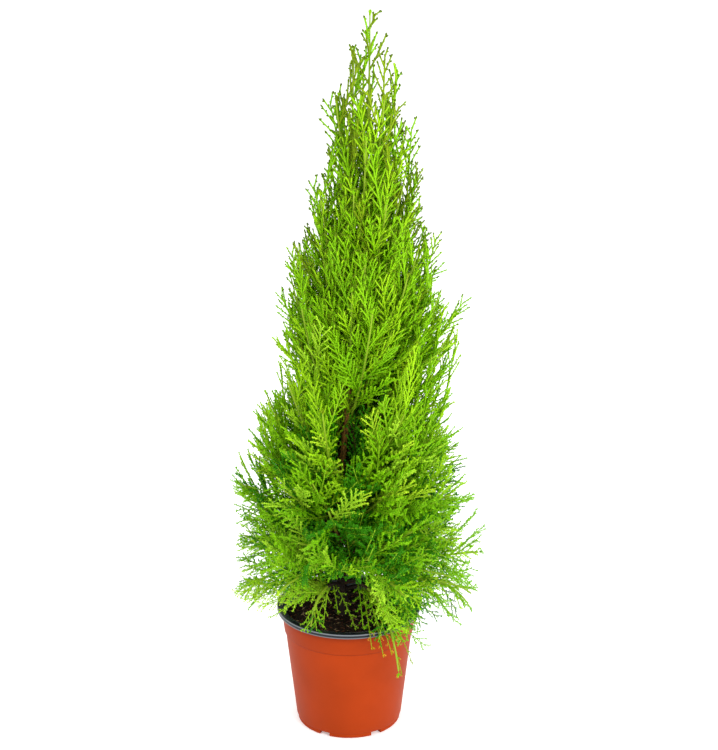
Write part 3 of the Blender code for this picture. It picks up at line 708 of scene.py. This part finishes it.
def makeFoliage():
    dice = np.random.default_rng(foliage["seed"])
    sprays = growSprays(dice)
    twigs = growTwigs(sprays, dice)
    print("twigs:", len(twigs["length"]))
    needleCorners, needleFaces, needleOwners = growNeedles(sprays, twigs, dice)
    tint, turned = dealTints(sprays, dice)

    def tintOf(which, points):
        return np.where(points[:, 2] < pot["height"], turned[which], tint[which])

    kinds = [("leaf_", sprayTints), ("bud_", budTints), ("stem_", stemTints)]
    materials = [plainMaterial(kind + name, rgb, 0.55, 0.15)
                 for kind, tints in kinds for name, rgb in tints.items()]
    dull, amber, woody = len(sprayTints), len(sprayTints) + 1, len(sprayTints) + len(budTints)

    # twig ends are duller high up, and amber on the sprays that hang over the pot's rim
    owner = twigs["which"]
    isOuter = sprays["outness"][owner] >= foliage["innerShare"]
    budLength = np.interp(twigs["end"][:, 2], foliage["budLengthAt"], foliage["budLength"])[:, None]
    budStart = twigs["end"] - twigs["heading"] * budLength * foliage["budInTwig"]
    budEnd = budStart + twigs["heading"] * budLength
    dullShare = np.interp(budEnd[:, 2], tinting["dullFrom"], tinting["dullShare"])
    isDull = dice.uniform(0, 1, len(owner)) < dullShare
    right, back, height = sprays["end"].T
    overRim = (height < tinting["rimBelow"]) & (right > 0) & (back < tinting["rimFront"])
    isAmber = overRim[owner] & (budEnd[:, 2] < pot["height"])
    isAmber &= dice.uniform(0, 1, len(owner)) < tinting["rimShare"]
    budTint = np.where(isAmber, amber, np.where(isDull, dull, tint[owner]))
    rootHeight = sprays["root"][:, 2]
    isWoody = (sprays["outness"] < tinting["woodyWithin"]) & (rootHeight < tinting["woodyBelow"])
    axisTint = np.where(rootHeight > tinting["ownAbove"], tint, np.where(isWoody, woody, woody + 1))
    axisTint = np.where(overRim, list(sprayTints).index(tinting["rimStems"]), axisTint)

    which, start, end = growStubs(sprays, twigs, dice)
    radius = twigs["radius"]
    budRadius = radius[isOuter] * foliage["budSwell"]
    shoots = [  # mesh, each shape's spray and tint
        (rodMesh(twigs["root"], twigs["end"], radius), owner, tintOf(owner, twigs["end"])),
        (clubMesh(budStart[isOuter], budEnd[isOuter], budRadius), owner[isOuter], budTint[isOuter]),
        (clubMesh(start, end, radius[which]), owner[which], budTint[which]),
        (axisMesh(sprays), np.arange(len(tint)), axisTint),
    ]
    corners, faces = joined([mesh for mesh, _, _ in shoots])
    owners, tints = (np.concatenate([np.repeat(row[at], len(row[0][1]) // len(row[at])) for row in shoots])
                     for at in (1, 2))

    needleTints = tintOf(needleOwners, needleCorners[needleFaces[:, 0]])
    for tier in [row[0] for row in growth["tiers"]]:
        isHere = np.array([branch["tier"] == tier for branch in branches])[sprays["owner"]]
        mine = isHere[needleOwners]
        needles = foliagePiece("needles_" + tier, needleCorners, needleFaces[mine], needleTints[mine],
                               materials[:len(sprayTints)])
        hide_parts(*[branch["name"] for branch in mainBranches if branch["tier"] == tier])
        mine = isHere[owners]
        foliagePiece("twigs_" + tier, corners, faces[mine], tints[mine], materials)
        print(tier, "needle faces", len(needles.data.polygons), "twig faces", mine.sum())
    print("foliage faces in all:", len(needleFaces) + len(faces))


wood = {
    "trunkSides": 4,
    "limbSides": 2,
    "stemSides": 1,
    "barkDark": (82, 54, 18),
    "barkLight": (206, 142, 60),
    "ridges": 700,
    "relief": 0.0006,
    # painted shade, partly peat splashed on the bark: the wood darkens towards the soil between these heights
    "footShade": 0.05,  # how light the wood is at the soil beside higher up
    "shadeBetween": (0.15, 0.235),
    "green": (132, 162, 28),
    "greenFrom": (0.34, 0.48),  # the bark gives way to green between these heights
    "woodyWithin": 0.03,  # branches are brown this near the trunk
    "woodyBelow": 0.3,
}


def addNode(material, kind, sockets, **settings):
    # a socket takes a value, or another node's output
    node = material.node_tree.nodes.new("ShaderNode" + kind)
    for name, value in settings.items():
        setattr(node, name, value)
    for name, value in sockets.items():
        if isinstance(value, bpy.types.NodeSocket):
            material.node_tree.links.new(value, node.inputs[name])
        else:
            node.inputs[name].default_value = value
    return node


def toShader(material, socket, output):
    material.node_tree.links.new(output, material.node_tree.nodes["Principled BSDF"].inputs[socket])


def addNoise(material, place, scale, detail=2):
    return addNode(material, "TexNoise", {"Vector": place, "Scale": scale, "Detail": detail}).outputs["Fac"]


def addRamp(material, share, *stops):
    # each stop: its place, its sRGB colour and how much lighter than that it is
    ramp = addNode(material, "ValToRGB", {"Fac": share})
    for stop, (place, rgb, lighter) in zip(ramp.color_ramp.elements, stops):
        stop.position = place
        stop.color = (*(min(c * lighter, 1) for c in toLinear(rgb)), 1)
    return ramp.outputs["Color"]


def addBump(material, relief, strength, distance):
    sockets = {"Height": relief, "Strength": strength, "Distance": distance}
    toShader(material, "Normal", addNode(material, "Bump", sockets).outputs["Normal"])


def heightShare(material, place, low, high, least=0):
    # least at one height, 1 at the other
    height = addNode(material, "SeparateXYZ", {"Vector": place}).outputs["Z"]
    sockets = {"Value": height, "From Min": low, "From Max": high, "To Min": least}
    return addNode(material, "MapRange", sockets).outputs["Result"]


def mixIn(material, share, colour, rgb):
    sockets = {"Factor": share, "A": colour, "B": (*toLinear(rgb), 1)}
    return addNode(material, "Mix", sockets, data_type="RGBA").outputs["Result"]


def barkMaterial():
    material = plainMaterial("bark_ridged", wood["barkDark"], 0.85, 0.5)
    place = addNode(material, "TexCoord", {}).outputs["Object"]
    stretched = addNode(material, "Mapping", {"Vector": place, "Scale": (1, 1, 0.25)}).outputs["Vector"]
    ridges = addNoise(material, stretched, wood["ridges"], 6)
    colour = addRamp(material, ridges, (0.35, wood["barkDark"], 1), (0.68, wood["barkLight"], 1))
    # painted shade: the bark darkens towards the soil, standing in for the shade under the crown, partly for
    # peat splashed on it
    shade = heightShare(material, place, *wood["shadeBetween"], wood["footShade"])
    shaded = addNode(material, "VectorMath", {"Vector": colour, "Scale": shade}, operation="SCALE")
    green = heightShare(material, place, *wood["greenFrom"])
    toShader(material, "Base Color", mixIn(material, green, shaded.outputs["Vector"], wood["green"]))
    addBump(material, ridges, 0.6, wood["relief"])
    return material


def deselectAll():
    bpy.ops.object.select_all(action="DESELECT")


def startRound(name, radius, height, fill):
    # one ring, selected in edit mode
    deselectAll()
    place = (0, 0, height)
    bpy.ops.mesh.primitive_circle_add(vertices=pot["sides"], radius=radius, fill_type=fill, location=place)
    piece = bpy.context.object
    piece.name = piece.data.name = name
    bpy.ops.object.transform_apply(location=True)
    bpy.ops.object.mode_set(mode="EDIT")
    bpy.ops.mesh.select_all(action="SELECT")
    return piece


def drawRing(rise, size, height):
    bpy.ops.mesh.extrude_region_move(TRANSFORM_OT_translate={"value": (0, 0, rise)})
    bpy.ops.transform.resize(value=(size, size, 1), center_override=(0, 0, height))


def selectOpenEdges():
    bpy.ops.mesh.select_all(action="DESELECT")
    bpy.ops.mesh.select_non_manifold()


def turnFacesOut():
    # the last step in edit mode
    bpy.ops.mesh.select_all(action="SELECT")
    bpy.ops.mesh.normals_make_consistent(inside=False)
    bpy.ops.object.mode_set(mode="OBJECT")


def roughen(piece, name, scale, strength, level, depth=2, direction="NORMAL"):
    texture = bpy.data.textures.new(name, "CLOUDS")
    texture.noise_scale, texture.noise_depth = scale, depth
    relief = piece.modifiers.new(name, "DISPLACE")
    relief.texture, relief.direction = texture, direction
    relief.strength, relief.mid_level = strength, level
    bpy.ops.object.modifier_apply(modifier=name)


def limbLine(branch, shares):
    thinning = growth["tipRadius"] - branch["girth"]
    return [pointOn(branch, s) for s in shares], [branch["girth"] + thinning * s for s in shares]


def limbPiece(name, lines, resolution):
    # one path with a round bevel; every line is a spline of it
    deselectAll()
    bpy.ops.curve.primitive_nurbs_path_add(location=(0, 0, 0))
    curve = bpy.context.object.data
    bpy.context.object.name = curve.name = name
    curve.splines.clear()
    curve.bevel_depth = 1.0
    curve.bevel_resolution = resolution
    curve.use_fill_caps = True
    for points, radii in lines:
        spline = curve.splines.new("POLY")
        spline.points.add(len(points) - 1)
        for knot, point, radius in zip(spline.points, points, radii):
            knot.co = (*point, 1)
            knot.radius = radius
    bpy.ops.object.convert(target="MESH")
    bpy.ops.object.mode_set(mode="EDIT")
    bpy.ops.mesh.select_all(action="SELECT")
    bpy.ops.mesh.remove_doubles(threshold=0.000001)
    turnFacesOut()
    bpy.ops.object.shade_smooth_by_angle(angle=math.radians(50))
    return bpy.context.object


def makeWood():
    bark = barkMaterial()
    low, high = growth["trunk"][0][0], growth["trunk"][-1][0]
    rings = [trunkAt(height) for height in (low, low + 0.002, *np.linspace(low + 0.005, high, 60))]
    trunk = limbPiece("trunk_bark", [zip(*rings)], wood["trunkSides"])
    roughen(trunk, "barkGrain", 0.004, wood["relief"], 0.55)
    trunk.data.materials.append(bark)
    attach(trunk, "root")
    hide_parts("trunk")

    bare = [branch for branch in mainBranches if branch["bare"]]
    lines = [limbLine(branch, np.linspace(0, branch["bare"], 8)) for branch in bare]
    boughs = limbPiece("bough_bark", lines, wood["limbSides"])
    boughs.data.materials.append(bark)
    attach(boughs, "root")
    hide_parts(*["bough_" + branch["name"] for branch in bare])

    lines = []
    for branch in branches:
        shares = np.linspace(0 if branch["isFill"] else branch["bare"], growth["stemEnd"], 12)
        isHidden = inZone(np.array([pointOn(branch, s) for s in shares]), partings["potLeft"])
        lines.append(limbLine(branch, shares[~isHidden]))
    stems = limbPiece("mass_stems", lines, wood["stemSides"])
    stems.data.materials.append(plainMaterial("stem_young", wood["green"], 0.6))
    stems.data.materials.append(plainMaterial("stem_old", stemTints["wood"], 0.8))
    for face in stems.data.polygons:
        x, y, z = face.center
        trunk, _ = trunkAt(z)
        isOld = math.hypot(x - trunk.x, y - trunk.y) < wood["woodyWithin"] and z < wood["woodyBelow"]
        face.material_index = int(isOld)
    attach(stems, "root")
    print("wood: trunk, boughs and stems")


pot = {
    "sides": 96,
    "height": 0.12,
    "rim": 0.07,
    "skirt": 0.0045,
    "mouth": 0.0634,
    "wallTop": 0.0644,
    "base": 0.0516,
    "wall": 0.0014,
    "floor": 0.0016,
    "foot": 0.0042,
    "footInset": 0.0012,
    "footWidth": 0.01,
    "pad": 0.018,
    "collar": 0.095,
    "step": 0.0011,
    "feet": 6,
    "footGap": 12,
    "gapLength": 0.02,
    "firstGap": -58,
    "drain": 0.0035,
    "drainCircle": 0.03,
    "clay": (154, 52, 9),
    "clayPaintedShade": (115, 34, 6),
    "slate": (24, 28, 34),
    "slatePaintedHighlight": (112, 116, 122),
    # height, and the share of the second colour there: painted shade in the collar's crease and under the
    # rim, a little over the collar band, and painted highlight lines at the rim's edges
    "clayPaintedShadeAt": ((0.09, 0), (0.0943, 0), (0.0946, 0.6), (0.0954, 0.6), (0.096, 0.12), (0.107, 0.12),
                   (0.1095, 0.25), (0.113, 0.6), (0.1155, 0.75)),
    # painted highlight: pale bands at the rim's lower edge and along its top edge
    "slatePaintedHighlightAt": ((0.1155, 0.8), (0.1163, 0.8), (0.1169, 0), (0.1186, 0), (0.119, 1), (0.1196, 1),
                      (0.1199, 0), (0.12, 0)),
}


def wallRadius(height):
    taper = (pot["wallTop"] - pot["base"]) / (pot["height"] - pot["skirt"] - pot["foot"])
    return pot["base"] + taper * (height - pot["foot"])


def plasticMaterial(name, first, second, roughness, specular):
    rgb, shares = pot[first], pot[second + "At"]
    material = plainMaterial(name, rgb, roughness, specular)
    place = addNode(material, "TexCoord", {}).outputs["Object"]
    colour = addRamp(material, addNoise(material, place, 22, 4), (0.3, rgb, 0.9), (0.7, rgb, 1.07))
    # the second colour comes in by height: painted shade on the clay, painted highlight lines on the slate
    low, high = shares[0][0], shares[-1][0]
    curve = addNode(material, "FloatCurve", {"Value": heightShare(material, place, low, high)})
    points = curve.mapping.curves[0].points
    while len(points) < len(shares):
        points.new(0.5, 0.5)
    for point, (at, share) in zip(points, shares):
        point.location = (at - low) / (high - low), share
        point.handle_type = "VECTOR"
    curve.mapping.update()
    toShader(material, "Base Color", mixIn(material, curve.outputs["Value"], colour, pot[second]))
    addBump(material, addNoise(material, place, 900), 0.08, 0.0002)
    return material


def makePot():
    top, under = pot["height"], pot["height"] - pot["skirt"]
    foot, base = pot["foot"], pot["base"]
    ring = base - pot["footInset"]
    floor = foot + pot["floor"]
    inner = wallRadius(floor) - pot["wall"]
    mouth, rim, collar, step = pot["mouth"], pot["rim"], pot["collar"], pot["step"]
    upper, lower = wallRadius(under), wallRadius(collar)
    # radius and height of each ring, from the middle of the inner floor over the rim to the underside
    rings = [
        (0.01, floor), (inner - 0.002, floor), (inner, floor + 0.002),
        (mouth - 0.0006, top - 0.008), (mouth, top - 0.0009), (mouth + 0.0004, top - 0.0002),
        (mouth + 0.0011, top), (rim - 0.0012, top), (rim - 0.0004, top - 0.0003), (rim, top - 0.0012),
        (rim, under + 0.0008), (rim - 0.0004, under + 0.0001), (rim - 0.001, under),
        (upper + step + 0.0006, under), (upper + step, under - 0.0006),
        (lower + step, collar + 0.0003), (lower + step * 0.8, collar - 0.0001),
        (lower + 0.0001, collar - 0.0007), (wallRadius(collar - 0.002), collar - 0.002),
        (wallRadius(foot + 0.0022), foot + 0.0022), (base - 0.0004, foot + 0.0006), (base - 0.001, foot),
        (ring, foot), (ring, 0.0006), (ring - 0.0006, 0), (ring - pot["footWidth"], 0),
        (ring - pot["footWidth"], foot), (pot["pad"], foot), (pot["pad"], 0), (0.006, 0),
    ]
    radius, height = rings[0]
    shell = startRound("pot_shell", radius, height, "NOTHING")
    for nextRadius, nextHeight in rings[1:]:
        drawRing(nextHeight - height, nextRadius / radius, nextHeight)
        radius, height = nextRadius, nextHeight
    selectOpenEdges()
    bpy.ops.mesh.edge_face_add()
    turnFacesOut()
    return shell


def finishPot(shell):
    cutters = []
    wide = pot["base"] * 2 * math.tan(math.radians(pot["footGap"]) / 2)
    middle = pot["base"] - pot["footInset"] - pot["footWidth"] / 2
    for number in range(pot["feet"]):
        turn = math.radians(pot["firstGap"]) + math.tau * number / pot["feet"]
        at = Vector((math.cos(turn), math.sin(turn), 0))
        bpy.ops.mesh.primitive_cube_add(size=1, location=at * middle, rotation=(0, 0, turn))
        bpy.context.object.scale = (pot["gapLength"], wide, 2 * (pot["foot"] - growth["gap"]))
        cutters.append(bpy.context.object)
        hole = at * pot["drainCircle"]
        bpy.ops.mesh.primitive_cylinder_add(vertices=24, radius=pot["drain"], depth=0.017, location=hole)
        cutters.append(bpy.context.object)
    for cutter in cutters:
        cut = shell.modifiers.new("cut", "BOOLEAN")
        cut.operation = "DIFFERENCE"
        cut.object = cutter
        deselectAll()
        bpy.context.view_layer.objects.active = shell
        bpy.ops.object.modifier_apply(modifier="cut")
        bpy.data.objects.remove(cutter)
    shell.select_set(True)
    bpy.ops.object.shade_smooth_by_angle(angle=math.radians(35))
    # painted shade on the clay under the rim and in the collar's crease
    clay = plasticMaterial("clay_plastic", "clay", "clayPaintedShade", 0.5, 0.06)
    # painted highlight lines along the slate rim's edges
    slate = plasticMaterial("slate_plastic", "slate", "slatePaintedHighlight", 0.22, 0.24)
    shell.data.materials.append(clay)
    shell.data.materials.append(slate)
    under = pot["height"] - pot["skirt"]
    for face in shell.data.polygons:
        x, y, z = face.center
        fromAxis = math.hypot(x, y)
        isRim = z > under - 0.0001
        isInside = z > pot["foot"] + 0.0008 and fromAxis < wallRadius(z) - 0.0006
        face.material_index = 1 if isRim or isInside else 0
    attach(shell, "root")
    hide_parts("pot")
    print("pot: faces", len(shell.data.polygons))


soil = {
    "level": 0.1095,
    "edgeDrop": 0.003,
    "fromWall": 0.0012,
    "rough": 0.0035,
    "rings": 26,
    "risingRings": 8,
    "ringWidth": 0.0022,
    "chips": 900,
    "chipSize": (0.0016, 0.0008),  # middle and spread
    "chipLeast": 0.0006,
    "chipThick": (0.12, 0.45),  # beside its size
    "chipShares": (0.5, 0.35, 0.15),
    "peat": (34, 24, 18),
    "peatLight": (70, 50, 38),
    "chipTints": {"chip_dark": (40, 26, 18), "chip_red": (104, 62, 40), "chip_pale": (150, 124, 96)},
}


def peatMaterial():
    material = plainMaterial("peat_crumb", soil["peat"], 0.95, 0.15)
    crumb = addNoise(material, addNode(material, "TexCoord", {}).outputs["Object"], 420, 8)
    colour = addRamp(material, crumb, (0.45, soil["peat"], 1), (0.72, soil["peatLight"], 1))
    toShader(material, "Base Color", colour)
    addBump(material, crumb, 0.9, 0.001)
    return material


def makeSoil():
    edge = pot["mouth"] - soil["fromWall"]
    drop = soil["edgeDrop"]
    bed = startRound("soil_bed", edge, soil["level"] - drop, "NGON")
    for ring in range(soil["rings"]):  # towards the middle; the outer ones rise to the level
        bpy.ops.mesh.inset(thickness=soil["ringWidth"])
        if ring < soil["risingRings"]:
            bpy.ops.transform.translate(value=(0, 0, drop / soil["risingRings"]))
    bpy.ops.object.mode_set(mode="OBJECT")
    roughen(bed, "clods", 0.006, soil["rough"], 0.62, depth=3, direction="Z")
    # the plug below: the whole sheet taken down to the pot's floor and drawn in with its taper
    bpy.ops.object.mode_set(mode="EDIT")
    selectOpenEdges()
    low = pot["foot"] + pot["floor"] + 0.0005
    drawRing(low - soil["level"] + drop, (wallRadius(low) - pot["wall"] - 0.0026) / edge, low)
    bpy.ops.mesh.edge_face_add()
    turnFacesOut()
    bpy.ops.object.shade_smooth_by_angle(angle=math.radians(60))
    bed.data.materials.append(peatMaterial())
    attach(bed, "root")
    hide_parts("soil")
    scatterChips(edge)


def scatterChips(edge):
    # chips and fibres: small flat-sided splinters lying on the bed
    dice = np.random.default_rng(5)
    count = soil["chips"]
    out = np.sqrt(dice.uniform(0.01, 1, count)) * (edge - 0.003)
    turn = dice.uniform(0, math.tau, count)
    middle = np.stack([out * np.cos(turn), out * np.sin(turn), np.full(count, soil["level"] + 0.0002)], 1)
    middle[:, 2] -= np.where(out > edge * 0.75, (out - edge * 0.75) / (edge * 0.25) * soil["edgeDrop"], 0)
    way = dice.uniform(0, math.tau, count)
    long = np.stack([np.cos(way), np.sin(way), dice.normal(0, 0.25, count)], 1)
    size = np.abs(dice.normal(*soil["chipSize"], count)) + soil["chipLeast"]
    thick = dice.uniform(*soil["chipThick"], count) * size
    start, stop = middle - long * size[:, None], middle + long * size[:, None]
    side = unit(np.cross(long, [0, 0, 1])) * thick[:, None]
    up = np.array([0, 0, 1]) * np.minimum(thick, 0.0006)[:, None]
    corners = [start, middle + side, middle - side, middle + up, middle - up, stop]
    corners = np.stack(corners, 1).reshape(-1, 3)
    pattern = [(0, 3, 1), (0, 2, 3), (0, 1, 4), (0, 4, 2), (5, 1, 3), (5, 3, 2), (5, 4, 1), (5, 2, 4)]
    tint = np.repeat(dice.choice(3, count, p=soil["chipShares"]), len(pattern))
    materials = [plainMaterial(name, rgb, 0.9, 0.15) for name, rgb in soil["chipTints"].items()]
    chips = meshPiece("soil_chips", corners, copyFaces(pattern, count, 6), tint, materials)
    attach(chips, "root")
    print("soil: bed and", count, "chips")


studio = {
    "camera": (0.01, -1.5, 0.83),
    "pitch": 17.62,
    "lens": 80.83,
    "floor": (250, 250, 250),
    "floorGlow": 0.25,
    "world": 1.12,
    "lights": (  # name, place, aim, size, power
        ("key", (1.0, -1.3, 0.8), (0, 0, 0.3), 0.8, 19),
        ("fill", (-1.4, -0.9, 0.9), (0, 0, 0.3), 1.2, 3),
        ("back", (-0.3, 1.3, 1.3), (0, 0, 0.35), 0.9, 6),
    ),
}


def makeStudio():
    deselectAll()
    bpy.ops.mesh.primitive_plane_add(size=30, location=(0, 0, -0.0002))
    floor = bpy.context.object
    floor.name = "floor"
    floor.name = "floor"
    white = plainMaterial("floor_white", studio["floor"], 0.9, 0.1)
    shader = white.node_tree.nodes["Principled BSDF"]
    shader.inputs["Emission Color"].default_value = (1, 1, 1, 1)
    shader.inputs["Emission Strength"].default_value = studio["floorGlow"]
    floor.data.materials.append(white)
    world = bpy.data.worlds.new("studio_white")
    world.use_nodes = True
    sky = world.node_tree.nodes["Background"]
    sky.inputs["Color"].default_value = (1, 1, 1, 1)
    sky.inputs["Strength"].default_value = studio["world"]
    bpy.context.scene.world = world
    for name, place, aim, size, power in studio["lights"]:
        bpy.ops.object.light_add(type="AREA", location=place)
        lamp = bpy.context.object
        lamp.name = name
        lamp.data.size = size
        lamp.data.energy = power
        lamp.rotation_euler = (Vector(aim) - Vector(place)).to_track_quat("-Z", "Y").to_euler()
    bpy.ops.object.camera_add(location=studio["camera"], rotation=(math.radians(90 - studio["pitch"]), 0, 0))
    camera = bpy.context.object
    camera.data.lens = studio["lens"]
    camera.data.sensor_width = 36
    bpy.context.scene.camera = camera
    bpy.context.scene.view_settings.view_transform = "Standard"
    print("studio: floor, lights and camera")


makeFoliage()
makeWood()
finishPot(makePot())
makeSoil()
makeStudio()
